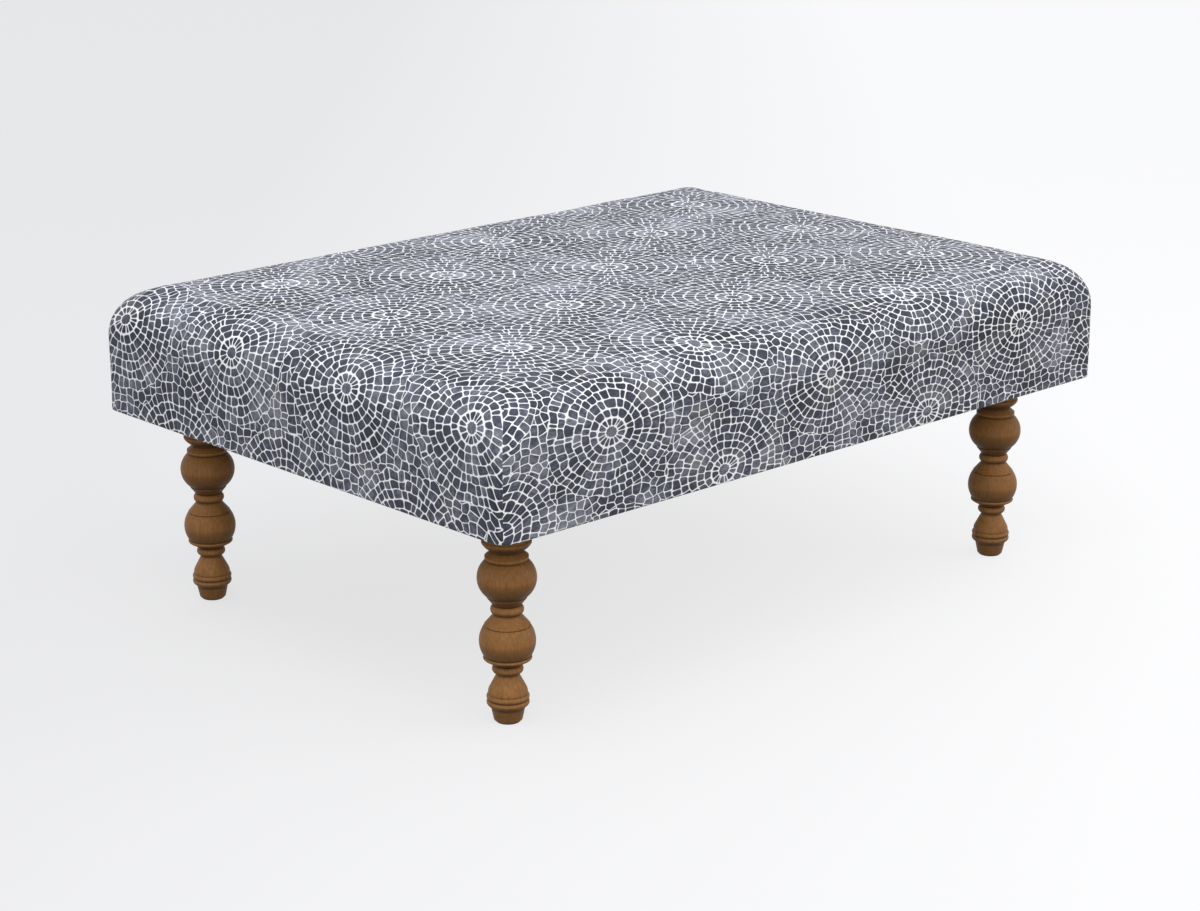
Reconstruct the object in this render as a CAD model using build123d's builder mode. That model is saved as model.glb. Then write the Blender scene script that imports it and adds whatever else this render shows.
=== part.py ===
"""A low upholstered footstool: a jointed wooden frame, webbing, foam, wadding and a tight cover on turned legs."""
# Lengths are in millimetres. The origin is on the floor under the middle of the stool.
# X runs along the long side, Y from front to back and Z up, and the front is the side at -Y.

import os
from math import cos, radians, sin

from build123d import *

os.makedirs("parts", exist_ok=True)

# Overall sizes, over the fabric
length = 1020
depth = 747
seat_height = 398
crown = 6
leg_inset_x = 86
leg_inset_y = 92

# Soft layers, from the outside in
cover_thick = 1.5
wadding_thick = 6.5
layer_gap = 0.3
foam_thick = 50
foam_wall = 4
foam_round_in = 32
turn_under = 30
platform_thick = 0.8
platform_margin = 6
dust_cover_thick = 0.6
dust_cover_margin = 14
leg_hole_gap = 1

# A rounded plan corner opens out by this share of the distance in from the wall
corner_ease_share = 0.6
# The crown climbs inwards from the rounded edges, over this share of their corner radius
crown_run_share = 0.8
rounding_steps = 5

# Wooden frame
rail_high = 89
rail_thick = 25
frame_corner_radius = 8
joint_gap = 0.1
mortise_wall = 7
tenon_thick = 10
tenon_shoulder = 16
cross_rail_thick = 22
cross_rail_drop = 15
cross_rail_high = 55
cross_rail_spacing = 340

# Corner blocks
block_reach = 150
block_tip = 20
block_high = 40

# Webbing
strap_width = 50
strap_thick = 1.5
weave_gap = 0.1
weave_slack = 6
strap_spacing = 170
lengthwise_straps = 3
crosswise_straps = 5
fold_margin = 4
fold_long = 16

# Turned legs, their glides and their bolts
leg_radius = 33.5
collar_radius = 26.5
glide_radius = 14
glide_thick = 2
bolt_radius = 4
bolt_in_leg = 40
bolt_proud = 3
bolt_gap = 0.05
bolt_clearance = 0.5
bore_spare = 2
nut_across_flats = 13
nut_thick = 6.5

# The turned outline from the foot up: shares of leg_radius, then of the leg's length.
# A row holds the end of a straight cut, or the fullest point and the end of a round one, with the
# number of short flats that it is drawn in.
leg_outline_shares = (
    # foot, long taper and its shoulder
    ((0.480, 0.000),),
    ((0.579, 0.066),),
    ((0.701, 0.082),),
    # double bead
    ((0.722, 0.097), (0.690, 0.107), 2),
    ((0.722, 0.117), (0.621, 0.163), 2),
    # neck that falls in to the thinnest place
    ((0.394, 0.226),),
    # small bead under the bell
    ((0.516, 0.249), (0.436, 0.271), 2),
    ((0.806, 0.303),),
    # bell
    ((0.964, 0.385), (0.794, 0.460), 4),
    ((0.487, 0.514),),
    # small bead under the ball
    ((0.564, 0.538), (0.472, 0.560), 2),
    ((0.684, 0.600),),
    # ball
    ((1.000, 0.690), (0.716, 0.773), 5),
    ((0.731, 0.793),),
    ((0.543, 0.825),),
    # flange under the seat
    ((0.836, 0.851),),
    ((0.836, 0.864),),
)
# Where the plain collar above the flange starts, as a share of the leg's length
collar_start_share = 0.870

# A cut runs past the face that it opens by this much
overrun = 1

# Places worked out from the sizes above
skin = cover_thick + layer_gap + wadding_thick + layer_gap
frame_length = length - 2 * skin
frame_depth = depth - 2 * skin
inner_length = frame_length - 2 * rail_thick
inner_depth = frame_depth - 2 * rail_thick
foam_bottom = seat_height - skin - foam_thick
foam_round_down = foam_thick - foam_wall
webbing_stack = 2 * strap_thick + weave_gap
rail_top = foam_bottom - platform_thick - webbing_stack
rail_bottom = rail_top - rail_high
hem_height = rail_bottom - cover_thick
cross_rail_top = rail_top - cross_rail_drop
block_top = rail_bottom + block_high
tenon_long = rail_thick - mortise_wall
leg_x = length / 2 - leg_inset_x
leg_y = depth / 2 - leg_inset_y
leg_long = rail_bottom - glide_thick
end_rail_x = (inner_length + rail_thick) / 2
side_rail_y = (inner_depth + rail_thick) / 2
cross_rail_x = cross_rail_spacing / 2

# Each corner's name and the sides of X and Y that it stands on
corners = {
    "front_left": (-1, -1),
    "front_right": (1, -1),
    "back_left": (-1, 1),
    "back_right": (1, 1),
}
# Each crosswise member's place along X, its thickness and its lower and upper edges
crosswise_members = {
    "end_rail_left": (-end_rail_x, rail_thick, rail_bottom, rail_top),
    "end_rail_right": (end_rail_x, rail_thick, rail_bottom, rail_top),
    "cross_rail_left": (-cross_rail_x, cross_rail_thick, cross_rail_top - cross_rail_high, cross_rail_top),
    "cross_rail_right": (cross_rail_x, cross_rail_thick, cross_rail_top - cross_rail_high, cross_rail_top),
}
leg_places = [(side_x * leg_x, side_y * leg_y) for side_x, side_y in corners.values()]


def finish(piece, name):
    """Label a finished sub-part and write it to its own file."""
    piece.part.label = name
    export_step(piece.part, f"parts/{name}.step")


def padded_block(inset, bottom):
    """The upholstered form set in by one distance: straight walls, rounded top edges and a low crown."""
    round_in = foam_round_in + skin - inset
    round_down = foam_round_down + skin - inset
    top = seat_height - inset
    wall_corner = frame_corner_radius + skin - inset
    edge_corner = wall_corner + corner_ease_share * round_in

    def outline(extra, corner_radius, height):
        """The plan at one height, a further distance in from this block's own walls."""
        with BuildSketch(Plane.XY.offset(height)) as plan:
            RectangleRounded(
                length - 2 * (inset + extra), depth - 2 * (inset + extra), corner_radius
            )
        return plan.sketch

    rounding = []
    for step in range(rounding_steps + 1):
        angle = radians(90 * step / rounding_steps)
        extra = round_in * (1 - cos(angle))
        height = top - round_down * (1 - sin(angle))
        rounding.append(outline(extra, wall_corner + corner_ease_share * extra, height))
    crown_run = crown_run_share * edge_corner
    crown_top = outline(round_in + crown_run, edge_corner - crown_run, top + crown)

    with BuildPart() as block:
        with BuildSketch(Plane.XY.offset(bottom)):
            add(outline(0, wall_corner, 0))
        extrude(amount=top - round_down - bottom)
        loft(sections=rounding, ruled=True)
        loft(sections=[rounding[-1], crown_top], ruled=True)
    return block.part


# Fabric cover: one cut, turned under the rails all round
cover_outside = padded_block(0, hem_height)
cover_inside = padded_block(cover_thick, rail_bottom)
with BuildPart() as fabric_cover:
    add(cover_outside)
    add(cover_inside, mode=Mode.SUBTRACT)
    with BuildSketch(Plane.XY.offset(hem_height - overrun)):
        Rectangle(frame_length - 2 * turn_under, frame_depth - 2 * turn_under)
    extrude(amount=cover_thick + 2 * overrun, mode=Mode.SUBTRACT)
finish(fabric_cover, "fabric_cover")

# Wadding between the cover and the foam and rails, open below
wadding_outside = padded_block(cover_thick + layer_gap, rail_bottom)
wadding_inside = padded_block(skin - layer_gap, rail_bottom - overrun)
with BuildPart() as wadding_wrap:
    add(wadding_outside)
    add(wadding_inside, mode=Mode.SUBTRACT)
finish(wadding_wrap, "wadding_wrap")

# Foam block with its top edges rounded over
with BuildPart() as foam_block:
    add(padded_block(skin, foam_bottom))
finish(foam_block, "foam_block")

# Platform cloth between the webbing and the foam
with BuildPart() as platform_cloth:
    with BuildSketch(Plane.XY.offset(rail_top + webbing_stack)):
        Rectangle(frame_length - 2 * platform_margin, frame_depth - 2 * platform_margin)
    extrude(amount=platform_thick)
finish(platform_cloth, "platform_cloth")

# Dust cover stretched under the frame, over the cover's raw edge, with a hole for each leg
with BuildPart() as dust_cover:
    with BuildSketch(Plane.XY.offset(hem_height - dust_cover_thick)):
        RectangleRounded(
            length - 2 * dust_cover_margin, depth - 2 * dust_cover_margin, frame_corner_radius
        )
        with Locations(*leg_places):
            Circle(collar_radius + leg_hole_gap, mode=Mode.SUBTRACT)
    extrude(amount=dust_cover_thick)
finish(dust_cover, "dust_cover")

# End rails and cross rails, with a stub tenon at each end
for name, (centre_x, thick, bottom, top) in crosswise_members.items():
    with BuildPart() as member:
        with BuildSketch(Plane.XY.offset(bottom)):
            with Locations((centre_x, 0)):
                Rectangle(thick, inner_depth)
        extrude(amount=top - bottom)
        with BuildSketch(Plane.XY.offset(bottom + tenon_shoulder)):
            with Locations((centre_x, 0)):
                Rectangle(tenon_thick, inner_depth + 2 * (tenon_long - joint_gap))
        extrude(amount=top - bottom - 2 * tenon_shoulder)
    finish(member, name)

# Side rails, mortised for the crosswise members
for name, side_y in (("side_rail_front", -1), ("side_rail_back", 1)):
    with BuildPart() as side_rail:
        with BuildSketch(Plane.XY.offset(rail_bottom)) as rail_plan:
            with Locations((0, side_y * side_rail_y)):
                Rectangle(frame_length, rail_thick)
            outwards = Axis((0, 0, 0), (0, side_y, 0))
            fillet(rail_plan.vertices().group_by(outwards)[-1], frame_corner_radius)
        extrude(amount=rail_top - rail_bottom)
        for centre_x, thick, bottom, top in crosswise_members.values():
            with BuildSketch(Plane.XY.offset(bottom + tenon_shoulder - joint_gap)):
                with Locations((centre_x, side_y * (inner_depth + tenon_long - overrun) / 2)):
                    Rectangle(tenon_thick + 2 * joint_gap, tenon_long + overrun)
            extrude(amount=top - bottom - 2 * (tenon_shoulder - joint_gap), mode=Mode.SUBTRACT)
    finish(side_rail, name)

# Corner blocks, cut square at the tips and bored for a leg's bolt
block_plan = (
    (0, 0),
    (block_reach, 0),
    (block_reach, block_tip),
    (block_tip, block_reach),
    (0, block_reach),
)
for corner, (side_x, side_y) in corners.items():
    with BuildPart() as corner_block:
        with BuildSketch(Plane.XY.offset(rail_bottom)):
            with BuildLine():
                Polyline(
                    *(
                        (side_x * (inner_length / 2 - in_x), side_y * (inner_depth / 2 - in_y))
                        for in_x, in_y in block_plan
                    ),
                    close=True,
                )
            make_face()
        extrude(amount=block_high)
        with Locations((side_x * leg_x, side_y * leg_y, block_top)):
            Hole(radius=bolt_radius + bolt_clearance, depth=block_high)
    finish(corner_block, f"corner_block_{corner}")


def strap_outline(end, crossings):
    """A strap's side view: flat on the rails, over or under each crossing, folded double at its ends."""
    level_end = end - rail_thick
    under = [(-end, 0), (-level_end, 0)]
    for place, level in crossings:
        half = strap_width / 2 + weave_slack
        under += [(place - half, level), (place + half, level)]
    under += [(level_end, 0), (end, 0)]
    over = [(along, level + strap_thick) for along, level in reversed(under[1:-1])]
    fold = 2 * strap_thick
    right = [(end, fold), (end - fold_long, fold), (end - fold_long, strap_thick)]
    left = [(-along, height) for along, height in reversed(right)]
    return under + right + over + left


def strap_place(index, count):
    """The middle of one strap in an evenly spaced row."""
    return (index - (count - 1) / 2) * strap_spacing


# Crosswise straps lie straight from rail to rail
with BuildPart() as webbing_crosswise:
    for index in range(crosswise_straps):
        centre = (strap_place(index, crosswise_straps), 0, rail_top)
        with BuildSketch(Plane(origin=centre, x_dir=(0, 1, 0), z_dir=(1, 0, 0))):
            with BuildLine():
                Polyline(*strap_outline(frame_depth / 2 - fold_margin, []), close=True)
            make_face()
        extrude(amount=strap_width / 2, both=True)
finish(webbing_crosswise, "webbing_crosswise")

# Lengthwise straps pass over and under them by turns
weave_level = strap_thick + weave_gap
with BuildPart() as webbing_lengthwise:
    for index in range(lengthwise_straps):
        crossings = []
        for crossing in range(crosswise_straps):
            level = weave_level if (index + crossing) % 2 else -weave_level
            crossings.append((strap_place(crossing, crosswise_straps), level))
        centre = (0, strap_place(index, lengthwise_straps), rail_top)
        with BuildSketch(Plane(origin=centre, x_dir=(1, 0, 0), z_dir=(0, -1, 0))):
            with BuildLine():
                Polyline(*strap_outline(frame_length / 2 - fold_margin, crossings), close=True)
            make_face()
        extrude(amount=strap_width / 2, both=True)
finish(webbing_lengthwise, "webbing_lengthwise")


def turned_outline():
    """The leg's outline as radius and height, with each round cut divided into its flats."""
    points = []
    for row in leg_outline_shares:
        places = [(share[0] * leg_radius, share[1] * leg_long) for share in row[:2]]
        if len(row) == 1:
            points.append(places[0])
            continue
        flats = row[2]
        round_cut = ThreePointArc(points[-1], *places)
        for flat in range(1, flats + 1):
            at = round_cut @ (flat / flats)
            points.append((at.X, at.Y))
    collar = [(collar_radius, collar_start_share * leg_long), (collar_radius, leg_long)]
    return [(0, 0), *points, *collar, (0, leg_long)]


# Turned legs in pairs, bored above for their bolts
leg_outline = turned_outline()
for name, side_y in (("front_legs", -1), ("back_legs", 1)):
    with BuildPart() as legs:
        for side_x in (-1, 1):
            foot = (side_x * leg_x, side_y * leg_y, glide_thick)
            with BuildSketch(Plane(origin=foot, x_dir=(1, 0, 0), z_dir=(0, -1, 0))):
                with BuildLine():
                    Polyline(*leg_outline, close=True)
                make_face()
            revolve(axis=Axis(foot, (0, 0, 1)))
        with Locations(*((side_x * leg_x, side_y * leg_y, rail_bottom) for side_x in (-1, 1))):
            Hole(radius=bolt_radius + bolt_gap, depth=bolt_in_leg + bore_spare)
    finish(legs, name)

# Glides under the feet
with BuildPart() as foot_glides:
    with BuildSketch():
        with Locations(*leg_places):
            Circle(glide_radius)
    extrude(amount=glide_thick)
finish(foot_glides, "foot_glides")

# Bolts, screwed into the legs below and held by nuts above
with BuildPart() as leg_bolts:
    with BuildSketch(Plane.XY.offset(rail_bottom - bolt_in_leg)):
        with Locations(*leg_places):
            Circle(bolt_radius)
    extrude(amount=bolt_in_leg + block_high + nut_thick + bolt_proud)
finish(leg_bolts, "leg_bolts")

# Hexagon nuts on the corner blocks
with BuildPart() as leg_nuts:
    with BuildSketch(Plane.XY.offset(block_top)):
        with Locations(*leg_places):
            RegularPolygon(nut_across_flats / 2, 6, major_radius=False)
            Circle(bolt_radius + bolt_gap, mode=Mode.SUBTRACT)
    extrude(amount=nut_thick)
finish(leg_nuts, "leg_nuts")
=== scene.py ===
"""A low rectangular footstool: a padded block in a printed cotton cover, on four turned and stained legs.

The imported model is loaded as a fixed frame. Each class below makes one sub-assembly around it, in metres and in
the frame's own places, and dresses it with a procedural finish.
"""

import logging
import math
from collections.abc import Iterable, Sequence
from dataclasses import dataclass, field
from enum import Enum
from functools import partial

import bmesh
import bpy
from mathutils import Matrix, Vector, noise


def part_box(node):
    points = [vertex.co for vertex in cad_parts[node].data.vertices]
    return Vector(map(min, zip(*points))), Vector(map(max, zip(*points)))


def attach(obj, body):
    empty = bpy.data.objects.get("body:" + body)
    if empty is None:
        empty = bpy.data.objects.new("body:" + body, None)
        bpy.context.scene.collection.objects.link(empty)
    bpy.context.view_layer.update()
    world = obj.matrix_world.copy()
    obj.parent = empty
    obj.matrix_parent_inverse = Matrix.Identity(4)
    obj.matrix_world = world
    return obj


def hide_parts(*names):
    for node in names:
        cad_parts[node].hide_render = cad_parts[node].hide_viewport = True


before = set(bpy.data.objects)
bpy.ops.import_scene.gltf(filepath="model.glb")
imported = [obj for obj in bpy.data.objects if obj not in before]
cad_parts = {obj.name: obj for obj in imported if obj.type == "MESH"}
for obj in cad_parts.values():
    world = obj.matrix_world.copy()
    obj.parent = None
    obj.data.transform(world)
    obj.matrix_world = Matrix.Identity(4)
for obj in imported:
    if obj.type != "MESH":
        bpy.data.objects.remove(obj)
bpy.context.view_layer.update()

MM = 0.001
TURN = 2 * math.pi
BODY = "root"
WHITE = (1, 1, 1, 1)
# The Wave texture's own phase for each unit of length, at a scale of 1
WAVE_RATE = 20
# A share of a panel's half size that is past this lies on the panel's edge
ON_EDGE = 1 - 1e-5

Tree = bpy.types.NodeTree
Node = bpy.types.Node
Socket = bpy.types.NodeSocket
Mesh = bmesh.types.BMesh
Piece = bpy.types.Object

log = logging.getLogger("footstool")


class Panel(Enum):
    """The panels of cloth that the cover is sewn from."""

    TOP = 0
    LONG_SIDE = 1
    SHORT_SIDE = 2


class Corner(Enum):
    """The stool's corners, by the sides of X and Y that they stand on."""

    FRONT_LEFT = (-1, -1)
    FRONT_RIGHT = (1, -1)
    BACK_LEFT = (-1, 1)
    BACK_RIGHT = (1, 1)


def linear(shade: str) -> tuple[float, float, float, float]:
    """Turn an sRGB hex value into linear light, by the standard curve.

    Args:
        shade: The hex value, with its hash.

    Returns:
        Red, green and blue, with an opaque alpha.
    """
    parts = [int(shade[at : at + 2], 16) / 255 for at in (1, 3, 5)]
    red, green, blue = (p / 12.92 if p <= 0.04045 else ((p + 0.055) / 1.055) ** 2.4 for p in parts)
    return red, green, blue, 1.0


def feed(tree: Tree, node: Node, values: dict[int | str, object]) -> None:
    """Link or set a node's inputs.

    Args:
        tree: The node tree that holds the node.
        node: The node to feed.
        values: For each input's name or number, another node's socket, a plain value, or None to leave it.
    """
    for key, value in values.items():
        if isinstance(value, Socket):
            tree.links.new(value, node.inputs[key])
        elif value is not None:
            node.inputs[key].default_value = value


def add_node(tree: Tree, kind: str, *values: object, output: int | str = 0, **settings: object) -> Socket:
    """Add one node with its settings and links.

    Args:
        tree: The material's node tree.
        kind: The node's type, without its ShaderNode prefix.
        *values: What the inputs take in turn, or a single dict of them by name or number.
        output: The name or number of the output to hand back.
        **settings: The node's own properties.

    Returns:
        One output of the new node.
    """
    node = tree.nodes.new("ShaderNode" + kind)
    for name, value in settings.items():
        setattr(node, name, value)
    by_name = bool(values) and isinstance(values[0], dict)
    feed(tree, node, values[0] if by_name else dict(enumerate(values)))
    return node.outputs[output]


def angle_of(tree: Tree, way: Socket) -> Socket:
    """Measure which way a vector of the flat cloth points.

    Args:
        tree: The material's node tree.
        way: The vector.

    Returns:
        Its angle from X in radians.
    """
    x = add_node(tree, "SeparateXYZ", way)
    return add_node(tree, "Math", x.node.outputs["Y"], x, operation="ARCTAN2")


def crossed_threads(tree: Tree, place: Socket, thread: float, distortion: float) -> Socket:
    """Cross warp and weft along X and Y.

    Args:
        tree: The material's node tree.
        place: The place on the cloth in millimetres.
        thread: The threads' spacing in millimetres.
        distortion: How unevenly they are spun.

    Returns:
        The threads' height, from 0 to 1.
    """
    threads = []
    for direction in ("X", "Y"):
        wave = {"Vector": place, "Scale": TURN / WAVE_RATE / thread, "Distortion": distortion, "Detail": 1.0}
        threads.append(add_node(tree, "TexWave", wave, bands_direction=direction, output="Fac"))
    return add_node(tree, "Math", *threads, operation="MULTIPLY")


def smooth_step(value: float) -> float:
    """Ease a value between 0 and 1, flat at both ends."""
    share = min(max(value, 0.0), 1.0)
    return share * share * (3 - 2 * share)


def bevel(mesh: Mesh, edges: Iterable[bmesh.types.BMEdge], width: float, segments: int) -> None:
    """Ease some edges of a mesh.

    Args:
        mesh: The mesh that holds them.
        edges: The edges to ease.
        width: How far the bevel reaches to each side.
        segments: How many steps it has.
    """
    bmesh.ops.bevel(
        mesh,
        geom=list(edges),
        offset=width,
        offset_type="OFFSET",
        segments=segments,
        profile=0.5,
        affect="EDGES",
        material=-1,
    )


def new_piece(name: str, mesh: Mesh, finish: "Finish", smooth: bool = True) -> Piece:
    """Turn a finished bmesh into an object of the stool that rides on its body.

    Args:
        name: The piece's name.
        mesh: The piece's shape, which is freed here.
        finish: What the piece is finished in.
        smooth: Whether its faces are shaded as one surface.

    Returns:
        The new object, at the origin.
    """
    data = bpy.data.meshes.new(name)
    mesh.to_mesh(data)
    mesh.free()
    data.shade_smooth() if smooth else data.shade_flat()
    piece = bpy.data.objects.new(name, data)
    bpy.context.scene.collection.objects.link(piece)
    data.materials.append(finish.material())
    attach(piece, BODY)
    log.info("%s: %d faces", name, len(data.polygons))
    return piece


@dataclass(frozen=True)
class Finish:
    """A material with a name and the record's slot for it. Each kind of finish adds its own nodes."""

    name: str
    slot: str

    def material(self) -> bpy.types.Material:
        """Make the material, or hand back the one that was made before.

        Returns:
            The material with all its nodes.
        """
        known = bpy.data.materials.get(self.name)
        if known:
            return known
        made = bpy.data.materials.new(self.name)
        made.use_nodes = True
        self.dress(made.node_tree, made.node_tree.nodes["Principled BSDF"])
        return made

    def dress(self, tree: Tree, shader: Node) -> None:
        """Add the finish's nodes and feed the shader."""
        raise NotImplementedError


@dataclass(frozen=True)
class MosaicCotton(Finish):
    """Plain-woven cotton with a wash-toned mosaic print: rosettes of ringed tesserae, with loose ones between.

    The cloth is matt, with a faint bloom, and its threads only show close by. Sizes are in millimetres on the
    flat cloth, which the piece's print coordinates measure in metres.
    """

    dark: str = "#30323A"
    mid: str = "#4D505D"
    pale: str = "#8B8D96"
    sand: str = "#A3A09B"
    ground: str = "#FCFDFC"
    # The rosettes stand in staggered columns, and each is a hub, a ring of petals and rings of tesserae
    column_pitch: float = 176.0
    row_pitch: float = 215.0
    first_rosette: tuple[float, float] = (2.0, 3.0)
    hub_radius: float = 8.6
    scallops: float = 10.0
    scallop_depth: float = 0.45
    petal_radius: float = 21.5
    ring_width: float = 12.3
    rings: int = 6
    # The tesserae: how wide they are, how far an edge may stray as a share of that, and how round they are
    tessera_width: float = 11.4
    petal_width: float = 6.4
    edge_stray: float = 0.28
    corner_round: float = 4.4
    petal_round: float = 2.8
    loose_tessera: float = 12.6
    loose_disorder: float = 0.66
    # The bare lines: their width, how uneven and soft they are, and how much wider they get at two rings
    line_width: float = 1.28
    line_uneven: float = 0.9
    line_soft: float = 0.45
    hub_line: float = 0.2
    petal_line: float = 0.62
    # How far the hand that drew them strays and over what length, and how far the outer rings wander: not at
    # all up to the first of two radii, and freely from the second on
    waver: float = 7.0
    waver_long: float = 38.0
    wander: float = 7.0
    wander_long: float = 17.0
    wander_radii: tuple[float, float] = (38.0, 75.0)
    thread: float = 1.1

    @property
    def outer_radius(self) -> float:
        """Where a rosette's last ring ends."""
        return self.petal_radius + self.rings * self.ring_width

    def dress(self, tree: Tree, shader: Node) -> None:
        """Print the mosaic on the weave.

        Args:
            tree: The material's node tree.
            shader: The shader to feed.
        """
        add = partial(add_node, tree)
        metres = add("UVMap", uv_map="print")
        cloth = add("VectorMath", {0: metres, "Scale": 1 / MM}, operation="SCALE")
        place = self.hand_drawn(tree, cloth)
        radius, way, seed = self.nearest_rosette(tree, place)
        radius = self.wandering(tree, place, radius)
        ring_gap, ring_tone = self.ring_tesserae(tree, radius, way, seed)
        loose_gap, loose_tone = self.loose_tesserae(tree, place, radius)
        outside = add("Math", radius, self.outer_radius, operation="GREATER_THAN")
        gap = add("Mix", {0: outside, 2: ring_gap, 3: loose_gap})
        tone = add("Mix", {0: outside, 2: ring_tone, 3: loose_tone})
        gap, tone = self.hub(tree, radius, way, gap, tone)
        line = self.line_half_width(tree, place, radius)
        line_in = add("Math", line, self.line_soft, operation="SUBTRACT")
        line_out = add("Math", line, self.line_soft)
        inked = add("MapRange", {0: gap, 1: line_in, 2: line_out}, interpolation_type="SMOOTHSTEP")
        ink = self.wash(tree, cloth, tone)
        colour = add("Mix", {0: inked, 6: linear(self.ground), 7: ink}, data_type="RGBA", output=2)
        colour, height = self.weave(tree, cloth, colour)
        bump = add("Bump", {"Strength": 0.35, "Distance": 0.25 * MM, "Height": height})
        feed(tree, shader, {"Base Color": colour, "Normal": bump, "Roughness": 0.88, "Specular IOR Level": 0.25})
        feed(tree, shader, {"Sheen Weight": 0.08, "Sheen Roughness": 0.5})

    def hand_drawn(self, tree: Tree, cloth: Socket) -> Socket:
        """Shift the cloth's places a little, so that no ring or row is drawn true.

        Args:
            tree: The material's node tree.
            cloth: The true place on the flat cloth.

        Returns:
            The shifted place.
        """
        add = partial(add_node, tree)
        stray = {"Vector": cloth, "Scale": 1 / self.waver_long, "Detail": 1.0}
        waver = add("TexNoise", stray, noise_dimensions="2D", output="Color")
        shift = add("VectorMath", waver, (0.5, 0.5, 0.5), operation="SUBTRACT")
        return add("VectorMath", shift, (self.waver, self.waver, 0.0), cloth, operation="MULTIPLY_ADD")

    def nearest_rosette(self, tree: Tree, place: Socket) -> tuple[Socket, Socket, Socket]:
        """Find the nearest of the rosettes, which stand in staggered columns.

        Args:
            tree: The material's node tree.
            place: The place on the cloth as drawn.

        Returns:
            The distance to its middle, the way from there, and a seed that is the same all over the rosette.
        """
        add = partial(add_node, tree)
        half_cell = (self.column_pitch, self.row_pitch / 2)
        ways, distances = [], []
        for steps in (0, 1):
            middle = [first + steps * half for first, half in zip(self.first_rosette, half_cell)]
            moved = add("VectorMath", place, (*middle, 0.0), operation="SUBTRACT")
            low = (-half_cell[0], -half_cell[1], -1.0)
            way = add("VectorMath", moved, (*half_cell, 1.0), low, operation="WRAP")
            ways.append(way)
            distances.append(add("VectorMath", way, operation="LENGTH", output="Value"))
        first_nearer = add("Math", *distances, operation="LESS_THAN")
        way = add("Mix", {0: first_nearer, 4: ways[1], 5: ways[0]}, data_type="VECTOR", output=1)
        radius = add("Math", *distances, operation="MINIMUM")
        middle = add("VectorMath", place, way, operation="SUBTRACT")
        # The seed is the middle's place in coarse steps, moved so that none falls on a step's edge
        step, clear = 50.0, 25.3
        moved = add("VectorMath", middle, (clear, clear, 0.0))
        seed = add("VectorMath", moved, (step, step, step), operation="SNAP")
        return radius, way, seed

    def wandering(self, tree: Tree, place: Socket, radius: Socket) -> Socket:
        """Let the outer rings wander in and out, so that they read as rows and not as true circles.

        Args:
            tree: The material's node tree.
            place: The place on the cloth as drawn.
            radius: The true distance to the rosette's middle.

        Returns:
            The distance that the rings go by.
        """
        add = partial(add_node, tree)
        waver = add("TexNoise", {"Vector": place, "Scale": 1 / self.wander_long, "Detail": 0.0}, noise_dimensions="2D")
        start, full = self.wander_radii
        freedom = add("MapRange", {0: radius, 1: start, 2: full, 4: self.wander}, interpolation_type="SMOOTHSTEP")
        shift = add("Math", waver, 0.5, operation="SUBTRACT")
        return add("Math", shift, freedom, radius, operation="MULTIPLY_ADD")

    def ring_tesserae(self, tree: Tree, radius: Socket, way: Socket, seed: Socket) -> tuple[Socket, Socket]:
        """Divide a rosette into rings, and each ring into about as many tesserae as fit.

        Args:
            tree: The material's node tree.
            radius: The distance that the rings go by.
            way: The way from the rosette's middle.
            seed: The rosette's seed.

        Returns:
            The distance to the nearest edge of a tessera in millimetres, and a random tone for each.
        """
        add = partial(add_node, tree)
        petal = add("Math", radius, self.petal_radius, operation="LESS_THAN")
        petal_long = self.petal_radius - self.hub_radius
        wide = add("Math", petal, petal_long - self.ring_width, self.ring_width, operation="MULTIPLY_ADD")
        past = add("Math", radius, self.petal_radius, operation="SUBTRACT")
        across = add("Math", past, wide, operation="DIVIDE")
        ring = add("Math", across, operation="FLOOR")
        ring_share = add("Math", across, 0.5, operation="PINGPONG")
        ring_gap = add("Math", ring_share, wide, operation="MULTIPLY")
        half_on = add("Math", ring, 0.5)
        middle = add("Math", half_on, wide, self.petal_radius, operation="MULTIPLY_ADD")
        narrower = self.petal_width - self.tessera_width
        width = add("Math", petal, narrower, self.tessera_width, operation="MULTIPLY_ADD")
        girth = add("Math", middle, TURN, operation="MULTIPLY")
        count = add("Math", add("Math", girth, width, operation="DIVIDE"), operation="ROUND")
        turn = add("Math", angle_of(tree, way), 1 / TURN, 0.5, operation="MULTIPLY_ADD")
        # The seeds of rings, edges and tones run along an axis each, in steps that keep their draws apart
        ring_step, edge_step, tone_step = (0.0, 0.0, 7.3), (3.7, 0.0, 0.0), (0.0, 5.9, 0.0)
        ring_seed = add("VectorMath", ring, ring_step, seed, operation="MULTIPLY_ADD")
        phase = add("TexWhiteNoise", ring_seed, noise_dimensions="3D")
        at = add("Math", turn, count, phase, operation="MULTIPLY_ADD")
        first = add("Math", at, operation="FLOOR")
        edges = []
        for step in (0, 1):
            number = add("Math", first, step)
            wrapped = add("Math", number, count, operation="MODULO")
            edge_seed = add("VectorMath", wrapped, edge_step, ring_seed, operation="MULTIPLY_ADD")
            throw = add("TexWhiteNoise", edge_seed, noise_dimensions="3D")
            moved = add("Math", throw, 2 * self.edge_stray, number, operation="MULTIPLY_ADD")
            edge = add("Math", moved, self.edge_stray, operation="SUBTRACT")
            edges.append(add("Math", at, edge, operation="SUBTRACT"))
        before = add("Math", edges[0], 0.0, operation="LESS_THAN")
        after = add("Math", edges[1], 0.0, operation="GREATER_THAN")
        spans = [add("Math", edge, operation="ABSOLUTE") for edge in edges]
        nearest = add("Math", *spans, operation="MINIMUM")
        arc = add("Math", add("Math", radius, TURN, operation="MULTIPLY"), count, operation="DIVIDE")
        side_gap = add("Math", nearest, arc, operation="MULTIPLY")
        shifted = add("Math", add("Math", first, after), before, operation="SUBTRACT")
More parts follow.
